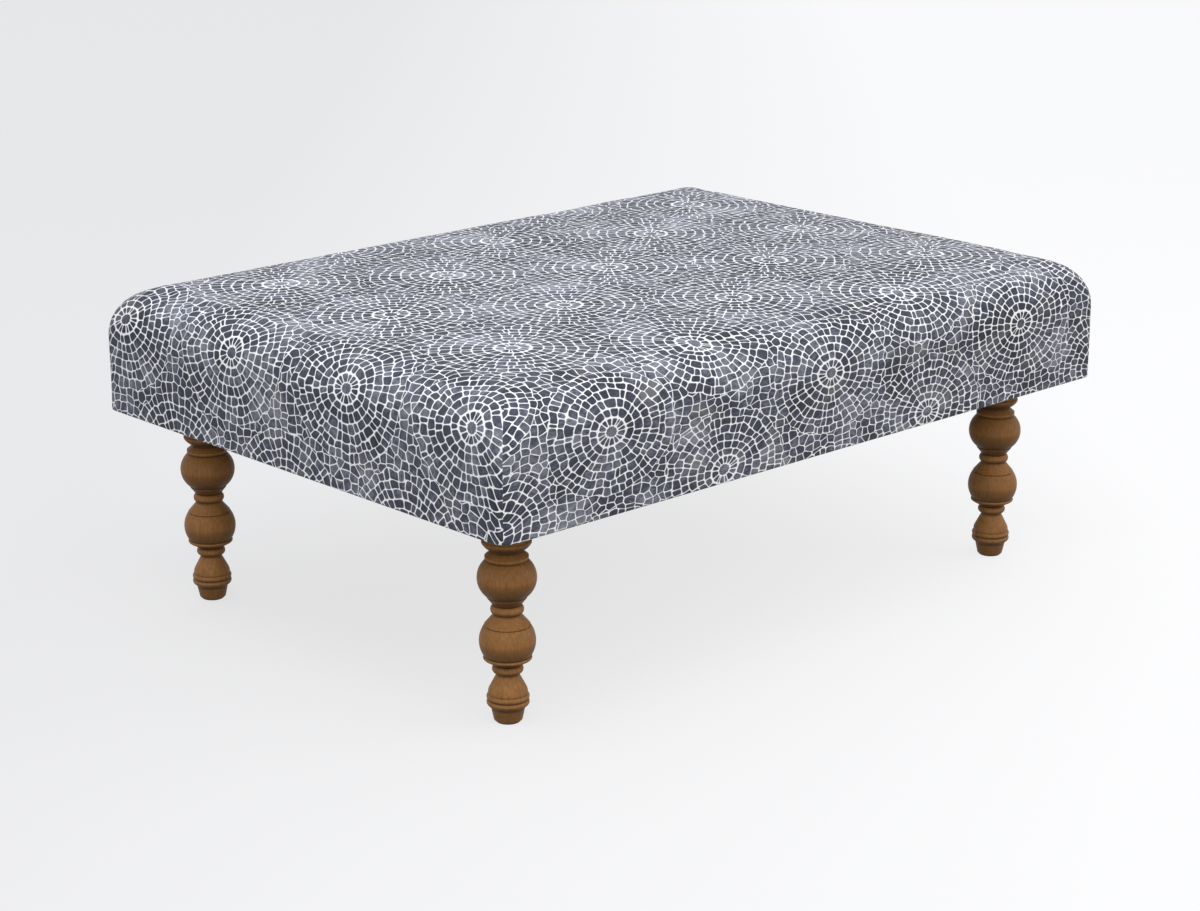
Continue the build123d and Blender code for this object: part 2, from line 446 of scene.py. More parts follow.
        own = add("Math", shifted, count, operation="FLOORED_MODULO")
        tone_seed = add("VectorMath", own, tone_step, ring_seed, operation="MULTIPLY_ADD")
        tone = add("TexWhiteNoise", tone_seed, noise_dimensions="3D")
        softer = self.petal_round - self.corner_round
        rounding = add("Math", petal, softer, self.corner_round, operation="MULTIPLY_ADD")
        gap = add("Math", ring_gap, side_gap, rounding, operation="SMOOTH_MIN")
        return gap, tone

    def loose_tesserae(self, tree: Tree, place: Socket, radius: Socket) -> tuple[Socket, Socket]:
        """Fill the ground between the rosettes with irregular tesserae.

        Args:
            tree: The material's node tree.
            place: The place on the cloth as drawn.
            radius: The distance that the rings go by.

        Returns:
            The distance to the nearest edge of a tessera in millimetres, and a random tone for each.
        """
        add = partial(add_node, tree)
        # How far a tessera reaches from its own point and how round it gets, both as shares of its size
        reach, rounding = 0.85, 0.3
        # The line round the rosette lies a little inside its last ring, and rounds what it cuts
        line_inside, line_round = 0.3, 1.5
        cells = {"Vector": place, "Scale": 1 / self.loose_tessera, "Randomness": self.loose_disorder}
        edge = add("TexVoronoi", cells, voronoi_dimensions="2D", feature="DISTANCE_TO_EDGE", output="Distance")
        shade = add("TexVoronoi", cells, voronoi_dimensions="2D", output="Color")
        middle_gap = add("Math", shade.node.outputs["Distance"], -1.0, reach, operation="MULTIPLY_ADD")
        rounded = add("Math", edge, middle_gap, rounding, operation="SMOOTH_MIN")
        side_gap = add("Math", rounded, self.loose_tessera, operation="MULTIPLY")
        ring_gap = add("Math", radius, self.outer_radius - line_inside, operation="SUBTRACT")
        gap = add("Math", side_gap, ring_gap, line_round, operation="SMOOTH_MIN")
        return gap, add("SeparateXYZ", shade)

    def hub(self, tree: Tree, radius: Socket, way: Socket, gap: Socket, tone: Socket) -> tuple[Socket, Socket]:
        """Put a scalloped, rayed button in the middle of each rosette, inside the first ring.

        Args:
            tree: The material's node tree.
            radius: The distance that the rings go by.
            way: The way from the rosette's middle.
            gap: The distance to the nearest edge of a tessera.
            tone: The tesserae's tone.

        Returns:
            The gap and the tone with the button's in its place.
        """
        add = partial(add_node, tree)
        # The button's tone, past that of any tessera, and how far its rays go either way from it
        button_tone, ray_depth = 1.15, 0.4
        turns = add("Math", angle_of(tree, way), self.scallops, operation="MULTIPLY")
        scallop = add("Math", turns, operation="COSINE")
        rim = add("Math", scallop, self.scallop_depth, self.hub_radius, operation="MULTIPLY_ADD")
        button_gap = add("Math", rim, radius, operation="SUBTRACT")
        inside = add("Math", radius, self.hub_radius, operation="LESS_THAN")
        rays = add("Math", scallop, ray_depth, button_tone, operation="MULTIPLY_ADD")
        return add("Mix", {0: inside, 2: gap, 3: button_gap}), add("Mix", {0: inside, 2: tone, 3: rays})

    def line_half_width(self, tree: Tree, place: Socket, radius: Socket) -> Socket:
        """Draw the bare lines unevenly, and wider round each hub and round its petals.

        Args:
            tree: The material's node tree.
            place: The place on the cloth as drawn.
            radius: The distance that the rings go by.

        Returns:
            Half the width of the line at that place.
        """
        add = partial(add_node, tree)
        # The length of a line's thick and thin stretches, and between what distances a ring widens it
        stretch_long, full, none = 9, 1.0, 4.5
        uneven = add("TexNoise", {"Vector": place, "Scale": 1 / stretch_long, "Detail": 1.0}, noise_dimensions="2D")
        least = (self.line_width - self.line_uneven) / 2
        line = add("Math", uneven, self.line_uneven, least, operation="MULTIPLY_ADD")
        for ring, wider in ((self.hub_radius, self.hub_line), (self.petal_radius, self.petal_line)):
            off = add("Math", add("Math", radius, ring, operation="SUBTRACT"), operation="ABSOLUTE")
            rise = add("MapRange", {0: off, 1: full, 2: none, 3: wider, 4: 0.0}, interpolation_type="SMOOTHSTEP")
            line = add("Math", line, rise)
        return line

    def wash(self, tree: Tree, cloth: Socket, tone: Socket) -> Socket:
        """Colour the tesserae as thin ink does: one by one, in broad washes and in blots, with sandy places.

        Args:
            tree: The material's node tree.
            cloth: The true place on the flat cloth.
            tone: The tesserae's tone.

        Returns:
            The ink's colour.
        """
        add = partial(add_node, tree)
        # How much a tessera's own tone counts, and how a brush stroke's width compares with its length
        own_share, stroke_wide = 0.36, 0.28
        stretched = add("VectorMath", cloth, (stroke_wide, 1.0, 1.0), operation="MULTIPLY")
        depth = add("Math", tone, own_share, operation="MULTIPLY")
        # Broad washes, blots and brush strokes: how long each is, how detailed, and how much it counts
        for at, size, detail, share in ((cloth, 95, 2.0, 1.45), (cloth, 8, 3.0, 0.6), (stretched, 2.4, 2.0, 0.55)):
            texture = add("TexNoise", {"Vector": at, "Scale": 1 / size, "Detail": detail}, noise_dimensions="2D")
            depth = add("Math", texture, share, depth, operation="MULTIPLY_ADD")
        # Thin ink goes from dark to mid between the first two depths, and from mid to pale between the others
        low = add("MapRange", {0: depth, 1: 1.05, 2: 1.55})
        high = add("MapRange", {0: depth, 1: 1.5, 2: 2.0})
        ink = add("Mix", {0: low, 6: linear(self.dark), 7: linear(self.mid)}, data_type="RGBA", output=2)
        ink = add("Mix", {0: high, 6: ink, 7: linear(self.pale)}, data_type="RGBA", output=2)
        spread = {"Vector": cloth, "Scale": 1 / 60, "Detail": 3.0, "W": 4.0}
        patches = add("TexNoise", spread, noise_dimensions="4D")
        sandy = add("MapRange", {0: patches, 1: 0.56, 2: 0.78, 4: 0.5})
        return add("Mix", {0: sandy, 6: ink, 7: linear(self.sand)}, data_type="RGBA", output=2)

    def weave(self, tree: Tree, cloth: Socket, colour: Socket) -> tuple[Socket, Socket]:
        """Cross warp and weft, drawn about twice as coarse as the real threads so that they show close by.

        Args:
            tree: The material's node tree.
            cloth: The true place on the flat cloth.
            colour: The print's colour.

        Returns:
            The print's colour, shaded by the weave, and the threads' height.
        """
        add = partial(add_node, tree)
        height = crossed_threads(tree, cloth, self.thread, distortion=0.6)
        shade = add("MapRange", {0: height, 3: 0.94, 4: 1.03})
        mixed = {0: 1.0, 6: colour, 7: shade}
        return add("Mix", mixed, data_type="RGBA", blend_type="MULTIPLY", output=2), height


@dataclass(frozen=True)
class StainedWood(Finish):
    """Turned hardwood under brown stain and a thin satin lacquer.

    The stain lies darker in the pores and in the late wood. Painted shade darkens the underside of each round, and the
    grooves of the turning are darker with stain and painted shade. The lacquer gives a soft, broad and faint shine.
    Sizes are in millimetres.
    """

    pale: str = "#A27240"
    brown: str = "#825B33"
    pore: str = "#432E1A"
    streak_wide: tuple[float, float] = (2.8, 0.9)
    streak_long: float = 90.0
    pore_wide: float = 0.55
    pore_long: float = 9.0
    # How much of the pores' colour the pores take, and the darkest places of painted shade under the rounds and of
    # stain and painted shade in the grooves
    pore_depth: float = 0.4
    shade_and_stain_depth: float = 0.92

    def dress(self, tree: Tree, shader: Node) -> None:
        """Run the grain up the leg.

        Args:
            tree: The material's node tree.
            shader: The shader to feed.
        """
        add = partial(add_node, tree)
        metres = add("TexCoord", output="Object")
        place = add("VectorMath", {0: metres, "Scale": 1 / MM}, operation="SCALE")
        depth = 0.0
        for wide in self.streak_wide:
            drawn_out = add("VectorMath", place, (1.0, 1.0, wide / self.streak_long), operation="MULTIPLY")
            streaks = add("TexNoise", {"Vector": drawn_out, "Scale": 1 / wide, "Detail": 2.0})
            depth = add("Math", streaks, 0.5, depth, operation="MULTIPLY_ADD")
        share = add("MapRange", {0: depth, 1: 0.34, 2: 0.66})
        wood = add("Mix", {0: share, 6: linear(self.pale), 7: linear(self.brown)}, data_type="RGBA", output=2)
        fine = add("VectorMath", place, (1.0, 1.0, self.pore_wide / self.pore_long), operation="MULTIPLY")
        specks = add("TexNoise", {"Vector": fine, "Scale": 1 / self.pore_wide, "Detail": 1.0})
        pores = add("MapRange", {0: specks, 1: 0.6, 2: 0.75, 4: self.pore_depth})
        # The turning's darkening: painted shade under the rounds, and stain with painted shade in the grooves
        shade_and_stain = add("Attribute", attribute_name="shade_and_stain", output="Fac")
        shade_and_stain_share = add("Math", shade_and_stain, self.shade_and_stain_depth, operation="MULTIPLY")
        for darkened in (pores, shade_and_stain_share):
            wood = add("Mix", {0: darkened, 6: wood, 7: linear(self.pore)}, data_type="RGBA", output=2)
        bump = add("Bump", {"Strength": 0.3, "Distance": 0.1 * MM, "Height": pores}, invert=True)
        rough = add("MapRange", {0: streaks, 3: 0.4, 4: 0.54})
        feed(tree, shader, {"Base Color": wood, "Roughness": rough, "Normal": bump, "Specular IOR Level": 0.14})


@dataclass(frozen=True)
class Grained(Finish):
    """A plain, slightly uneven surface in two tones, such as foam, wadding, moulded plastic or planed timber."""

    shade: str
    other: str
    grain: tuple[float, float, float]
    roughness: float
    metallic: float = 0.0
    relief: float = 0.1

    def dress(self, tree: Tree, shader: Node) -> None:
        """Mottle the surface, with spots as long each way as the grain says in millimetres.

        Args:
            tree: The material's node tree.
            shader: The shader to feed.
        """
        add = partial(add_node, tree)
        metres = add("TexCoord", output="Object")
        scale = tuple(1 / MM / size for size in self.grain)
        place = add("VectorMath", metres, scale, operation="MULTIPLY")
        spots = add("TexNoise", {"Vector": place, "Scale": 1.0, "Detail": 3.0})
        share = add("MapRange", {0: spots, 1: 0.3, 2: 0.7})
        colour = add("Mix", {0: share, 6: linear(self.shade), 7: linear(self.other)}, data_type="RGBA", output=2)
        bump = add("Bump", {"Strength": 0.5, "Distance": self.relief * MM, "Height": spots})
        feed(tree, shader, {"Base Color": colour, "Normal": bump})
        feed(tree, shader, {"Roughness": self.roughness, "Metallic": self.metallic})


@dataclass(frozen=True)
class PlainWeave(Finish):
    """An unprinted cloth of crossed threads, such as jute webbing, hessian or a thin dust cover."""

    shade: str
    gap: str
    thread: float

    def dress(self, tree: Tree, shader: Node) -> None:
        """Cross the threads along X and Y.

        Args:
            tree: The material's node tree.
            shader: The shader to feed.
        """
        add = partial(add_node, tree)
        metres = add("TexCoord", output="Object")
        place = add("VectorMath", {0: metres, "Scale": 1 / MM}, operation="SCALE")
        height = crossed_threads(tree, place, self.thread, distortion=1.0)
        colour = add("Mix", {0: height, 6: linear(self.gap), 7: linear(self.shade)}, data_type="RGBA", output=2)
        bump = add("Bump", {"Strength": 0.6, "Distance": 0.3 * MM, "Height": height})
        feed(tree, shader, {"Base Color": colour, "Normal": bump, "Roughness": 0.9, "Sheen Weight": 0.1})


COVER_CLOTH = MosaicCotton("printed cotton", "printed_cotton")
LEG_WOOD = StainedWood("stained and lacquered hardwood", "stained_wood")
# Sawn and planed, so pale, dry and dull
FRAME_WOOD = Grained("planed softwood", "frame_wood", "#D9BC8C", "#C4A171", (9.0, 9.0, 9.0), 0.7)
# Cut from a foamed block, so cream, open and without any shine
FOAM = Grained("upholstery foam", "upholstery_foam", "#E6DDBF", "#D8CDA8", (1.5, 1.5, 1.5), 0.95)
# Moulded smooth, so an even brown with a soft shine
GLIDE_PLASTIC = Grained("moulded nylon", "glide_plastic", "#5A4029", "#523A25", (0.8, 0.8, 0.8), 0.5, 0.0, 0.03)
# Plated on drawn or cold-formed steel, so bright and cool with fine drawn marks
ZINC = Grained("bright zinc plate", "zinc_steel", "#BFC1BD", "#A9ABA8", (0.6, 0.6, 4.0), 0.35, 1.0, 0.02)
# Woven from coarse bast yarns, so brown, open and dull
HESSIAN = PlainWeave("plain hessian", "platform_cloth", "#A98C5E", "#6E5736", 2.2)
JUTE = PlainWeave("jute webbing", "webbing", "#B59A6B", "#7A6340", 2.6)
# Woven thin and dyed, so a flat black that shows little of its threads
DUST_CLOTH = PlainWeave("thin black cambric", "dust_cover_cloth", "#1E1E20", "#121213", 1.4)

SHORT_RAILS = [f"{kind}_rail_{side}" for kind in ("end", "cross") for side in ("left", "right")]
# The frame's own nodes that stay as they are, inside the stool, and what each is finished in
KEPT_NODES = {
    "foam_block": FOAM,
    "platform_cloth": HESSIAN,
    "webbing_crosswise": JUTE,
    "webbing_lengthwise": JUTE,
    "side_rail_front": FRAME_WOOD,
    "side_rail_back": FRAME_WOOD,
    **dict.fromkeys(SHORT_RAILS, FRAME_WOOD),
    **dict.fromkeys((f"corner_block_{corner.name.lower()}" for corner in Corner), FRAME_WOOD),
    "leg_bolts": ZINC,
    "leg_nuts": ZINC,
}


@dataclass
class PaddedCover:
    """The upholstered block: a cover over wadding, crowned on top, with a seam down each corner.

    The mesh starts from a grid over the top, and its edge is extruded down the sides and under the frame.
    """

    round_in: float = 40.6 * MM
    round_down: float = 54.6 * MM
    wall_corner: float = 16.6 * MM
    corner_ease: float = 0.6
    # From this share of the way out from the middle, the top's rows turn from square to round
    corner_start: float = 0.78
    crown: float = 6 * MM
    crown_run: float = 150 * MM
    start_inside: float = 1.5 * MM
    turn_under: float = 30 * MM
    grid: tuple[int, int] = (104, 76)
    rounding_rows: int = 9
    wall_rows: int = 10
    # Rows down round the fold at the hem: how far in, and how far above it
    fold: tuple[tuple[float, float], ...] = ((0, 2.6), (0.2, 1.0), (1.2, 0), (5, 0.2))
    # The simulation's pressure and frames, and the most that it may move the cloth out and in
    pressure: float = 4.0
    frames: int = 20
    swell: float = 3.2 * MM
    shrink: float = 0.5 * MM
    # Dips and bumps of the padding: how many to the metre and how deep. They fade out near the hem.
    wide_bumps: tuple[float, float] = (9.0, 1.1 * MM)
    fine_bumps: tuple[float, float] = (26.0, 0.35 * MM)
    fade_high: float = 40 * MM
    seam_depth: float = 0.9 * MM
    # The print is drawn in over the rounding and down the wall by these factors, as on the real one
    long_side_draw: tuple[float, float] = (1.26, 1.35)
    short_side_draw: tuple[float, float] = (1.15, 1.1)
    low: Vector = field(default_factory=lambda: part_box("fabric_cover")[0])
    high: Vector = field(default_factory=lambda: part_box("fabric_cover")[1])

    @property
    def top(self) -> float:
        """The height of the top's edge, below the crown."""
        return self.high.z - self.crown - self.start_inside

    @property
    def rounding_long(self) -> float:
        """The cloth's length over the rounded edge, by the usual approximation for an ellipse."""
        a, b = self.round_in, self.round_down
        return math.pi / 4 * (3 * (a + b) - math.sqrt((3 * a + b) * (a + 3 * b)))

    @staticmethod
    def layers(mesh: Mesh) -> list[bmesh.types.BMLayerItem]:
        """List the layers that hold a point's shares of the half length and half depth, and its way down."""
        return [mesh.verts.layers.float[name] for name in ("share_x", "share_y", "down")]

    def plan_point(self, shares: tuple[float, float], half: tuple[float, float], corner: float) -> tuple[float, float]:
        """Work out where a point of a rounded rectangle lies.

        Args:
            shares: The point's shares of the half length and half depth, of which one is 1 or -1.
            half: The rectangle's half length and half depth.
            corner: The radius of its corners.

        Returns:
            The point's place along X and Y.
        """
        on_end = abs(shares[0]) >= abs(shares[1])
        out_half, along_half = half if on_end else half[::-1]
        out_share, along_share = shares if on_end else shares[::-1]
        straight = along_half - corner
        along = abs(along_share) * (straight + corner * math.pi / 4)
        out = out_half
        if along > straight and corner > 0:
            angle = (along - straight) / corner
            out = out_half - corner * (1 - math.cos(angle))
            along = straight + corner * math.sin(angle)
        place = (math.copysign(out, out_share), math.copysign(along, along_share))
        return place if on_end else place[::-1]

    def level_point(self, shares: tuple[float, float], inset: float) -> tuple[float, float]:
        """Work out where a point of the side's outline lies.

        Args:
            shares: The point's shares of the half length and half depth.
            inset: How far in from the walls the outline is.

        Returns:
            The point's place along X and Y.
        """
        inside = inset + self.start_inside
        half = (self.high.x - inside, self.high.y - inside)
        return self.plan_point(shares, half, self.wall_corner + self.corner_ease * min(inset, self.round_in))

    def side_levels(self) -> list[tuple[float, float, float]]:
        """List the rows of the sides, from below the top's edge to under the frame.

        Returns:
            For each row, how far in it is, how high, and how far down along the cloth.
        """
        levels = []
        hem = self.low.z
        wall_top = self.top - self.round_down
        down = 0.0
        before = (self.round_in, self.top)
        rows = []
        for row in range(1, self.rounding_rows + 1):
            angle = math.pi / 2 * (1 - row / self.rounding_rows)
            rows.append((self.round_in * (1 - math.cos(angle)), wall_top + self.round_down * math.sin(angle)))
        wall_end = hem + self.fold[0][1] * MM
        for row in range(1, self.wall_rows):
            rows.append((0.0, wall_top + (wall_end - wall_top) * row / self.wall_rows))
        rows += [(inset * MM, hem + above * MM) for inset, above in self.fold]
        rows.append((self.turn_under, hem + self.fold[-1][1] * MM))
        for here in rows:
            down += math.dist(before, here)
            levels.append((*here, down))
            before = here
        return levels

    def shape_top(self, mesh: Mesh) -> None:
        """Draw the grid's corners round, crowd its outer rows and raise its crown.

        Args:
            mesh: The cover's mesh, as a flat grid from -1 to 1.
        """
        share_x, share_y, _ = self.layers(mesh)
        half = (self.high.x - self.round_in - self.start_inside, self.high.y - self.round_in - self.start_inside)
        edge_corner = self.wall_corner + self.corner_ease * self.round_in
        for vert in mesh.verts:
            eased = [(value + math.sin(value * math.pi / 2)) / 2 for value in vert.co.xy]
            out = max(abs(value) for value in eased)
            vert[share_x], vert[share_y] = eased
            if out == 0:
                vert.co.z = self.top + self.crown
                continue
            shares = (eased[0] / out, eased[1] / out)
            corner = edge_corner * smooth_step((out - self.corner_start) / (1 - self.corner_start))
            x, y = self.plan_point(shares, (half[0] * out, half[1] * out), corner)
            run = min((1 - out) * half[1] / self.crown_run, 1)
            vert.co = (x, y, self.top + self.crown * (1 - (1 - run) ** 2))

    def extrude_sides(self, mesh: Mesh) -> None:
        """Take the top's edge down the sides, round the hem and in under the frame, and close it there.

        Args:
            mesh: The cover's mesh, with its top shaped.
        """
        share_x, share_y, down = self.layers(mesh)
        edges = [edge for edge in mesh.edges if edge.is_boundary]
        for inset, height, drop in self.side_levels():
            made = bmesh.ops.extrude_edge_only(mesh, edges=edges)["geom"]
            for vert in (part for part in made if isinstance(part, bmesh.types.BMVert)):
                x, y = self.level_point((vert[share_x], vert[share_y]), inset)
                vert.co = (x, y, height)
                vert[down] = drop
            edges = [part for part in made if isinstance(part, bmesh.types.BMEdge) and part.is_boundary]
        # A grid closes the underside, between the two rows of edges under the long sides
        under = [edge for edge in edges if all(abs(vert[share_y]) > ON_EDGE for vert in edge.verts)]
        bmesh.ops.grid_fill(mesh, edges=under, use_smooth=True)

    def drawn_in(self, down: float, factors: tuple[float, float]) -> float:
        """Say how far down the print a point of a side lies."""
        over = min(down, self.rounding_long)
        return over * factors[0] + (down - over) * factors[1]

    def lay_print(self, mesh: Mesh) -> None:
        """Give each panel its own print coordinates, which meet along the top's edge and break at the seams.

        Args:
            mesh: The cover's mesh.
        """
        share_x, share_y, down = self.layers(mesh)
        uv = mesh.loops.layers.uv.new("print")
        for face in mesh.faces:
            panel = self.panel_of(mesh, face)
            for loop in face.loops:
                vert = loop.vert
                place = [vert.co.x, vert.co.y]
                if panel is not Panel.TOP:
                    axis = 1 if panel is Panel.LONG_SIDE else 0
                    factors = self.long_side_draw if panel is Panel.LONG_SIDE else self.short_side_draw
                    edge = self.level_point((vert[share_x], vert[share_y]), self.round_in)
                    place[axis] = edge[axis] + math.copysign(self.drawn_in(vert[down], factors), edge[axis])
                loop[uv].uv = place

    def panel_of(self, mesh: Mesh, face: bmesh.types.BMFace) -> Panel:
        """Say which panel of the cover a face belongs to.

        Args:
            mesh: The cover's mesh.
            face: One of its faces.

        Returns:
            The panel.
        """
        _, share_y, down = self.layers(mesh)
        if all(vert[down] == 0 for vert in face.verts):
            return Panel.TOP
        on_long_side = all(abs(vert[share_y]) > ON_EDGE for vert in face.verts)
        return Panel.LONG_SIDE if on_long_side else Panel.SHORT_SIDE

    def inflate(self, piece: Piece, held: Sequence[int]) -> None:
        """Swell the cover by cloth simulation, with its hem held and each point's travel limited.

        Args:
            piece: The cover, whose mesh takes the swollen shape.
            held: The vertices that stay where they are.
        """
        piece.vertex_groups.new(name="held").add(list(held), 1.0, "REPLACE")
        swelling = piece.modifiers.new("swelling", "CLOTH")
        swelling.settings.vertex_group_mass = "held"
        swelling.settings.use_pressure = True
        swelling.settings.uniform_pressure_force = self.pressure
        swelling.settings.effector_weights.gravity = 0.0
        swelling.settings.quality = 5
        scene = bpy.context.scene
        for step in range(1, self.frames + 1):
            scene.frame_set(step)
        swollen = piece.evaluated_get(bpy.context.evaluated_depsgraph_get()).data
        flat = piece.data.vertices
        moves = [(after.co - before.co).dot(before.normal) for after, before in zip(swollen.vertices, flat)]
        piece.modifiers.remove(swelling)
        piece.vertex_groups.clear()
        scene.frame_set(1)
        normals = [vert.normal.copy() for vert in piece.data.vertices]
        for vert, normal, move in zip(piece.data.vertices, normals, moves):
            limit = self.swell if move > 0 else self.shrink
            vert.co += normal * limit * math.tanh(move / limit)

    def settle(self, cover: Piece, seams: Iterable[int]) -> None:
        """Let the surface lie a little uneven, and draw it in along the corner seams.

        Args:
            cover: The cover.
            seams: The vertices along its seams.
        """
        data = cover.data
        (wide_rate, wide_deep), (fine_rate, fine_deep) = self.wide_bumps, self.fine_bumps
        elsewhere = Vector((3, 5, 7))
        for vert in data.vertices:
            wide = noise.noise(vert.co * wide_rate)
            fine = noise.noise(vert.co * fine_rate + elsewhere)
            free = smooth_step((vert.co.z - self.low.z) / self.fade_high)
            vert.co += vert.normal * (wide * wide_deep + fine * fine_deep) * free
        for index in seams:
            vert = data.vertices[index]
            inward = Vector((-math.copysign(1, vert.co.x), -math.copysign(1, vert.co.y), 0)).normalized()
            vert.co += inward * self.seam_depth
        data.update()

    def build(self) -> Piece:
        """Make the cover, and let it stand for the CAD's cover and the wadding in it.

        Returns:
            The cover.
        """
        mesh = bmesh.new()
        for name in ("share_x", "share_y", "down"):
            mesh.verts.layers.float.new(name)
        bmesh.ops.create_grid(mesh, x_segments=self.grid[0], y_segments=self.grid[1], size=1)
        self.shape_top(mesh)
        self.extrude_sides(mesh)
        self.lay_print(mesh)
        mesh.normal_update()
        mesh.verts.index_update()
        share_x, share_y, down = self.layers(mesh)
        seams = [v.index for v in mesh.verts if v[down] > 0 and min(abs(v[share_x]), abs(v[share_y])) > ON_EDGE]
        # The fold's first row is held too, with a hundredth of its height to spare
        held_high = self.low.z + self.fold[0][1] * MM * 1.01
        held = [v.index for v in mesh.verts if v.co.z < held_high]
        cover = new_piece("padded_cover", mesh, COVER_CLOTH)
        self.inflate(cover, held)
        self.settle(cover, seams)
        finer = cover.modifiers.new("finer", "SUBSURF")
        finer.levels = finer.render_levels = 1
        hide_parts("fabric_cover", "wadding_wrap")
        return cover


@dataclass(frozen=True)
class Cut:
    """One cut of a turned outline, straight to its end or round through a point on the way there."""

    end: tuple[float, float]
    through: tuple[float, float] | None = None

    def points(self, start: tuple[float, float], spacing: float) -> list[tuple[float, float]]:
        """List the points of the cut after its start.

        Args:
            start: Where the cut before this one ended.
            spacing: The greatest distance between two points of the cut.

        Returns:
            Points as radius and height.
        """
        if self.through is None:
            steps = math.ceil(math.dist(start, self.end) / spacing)
            shares = [step / steps for step in range(1, steps + 1)]
            return [tuple(a + (b - a) * share for a, b in zip(start, self.end)) for share in shares]
        (ax, ay), (bx, by), (cx, cy) = start, self.through, self.end
        across = 2 * (ax * (by - cy) + bx * (cy - ay) + cx * (ay - by))
        squares = [x * x + y * y for x, y in (start, self.through, self.end)]
        middle_x = (squares[0] * (by - cy) + squares[1] * (cy - ay) + squares[2] * (ay - by)) / across
        middle_y = (squares[0] * (cx - bx) + squares[1] * (ax - cx) + squares[2] * (bx - ax)) / across
        radius = math.dist((middle_x, middle_y), start)
        first = math.atan2(ay - middle_y, ax - middle_x)
        last = math.atan2(cy - middle_y, cx - middle_x)
        sweep = (last - first) % TURN
        passes = (math.atan2(by - middle_y, bx - middle_x) - first) % TURN < sweep
        sweep = sweep if passes else sweep - TURN
        steps = max(2, math.ceil(abs(sweep) * radius / spacing))
        angles = [first + sweep * step / steps for step in range(1, steps + 1)]
        return [(middle_x + radius * math.cos(a), middle_y + radius * math.sin(a)) for a in angles]


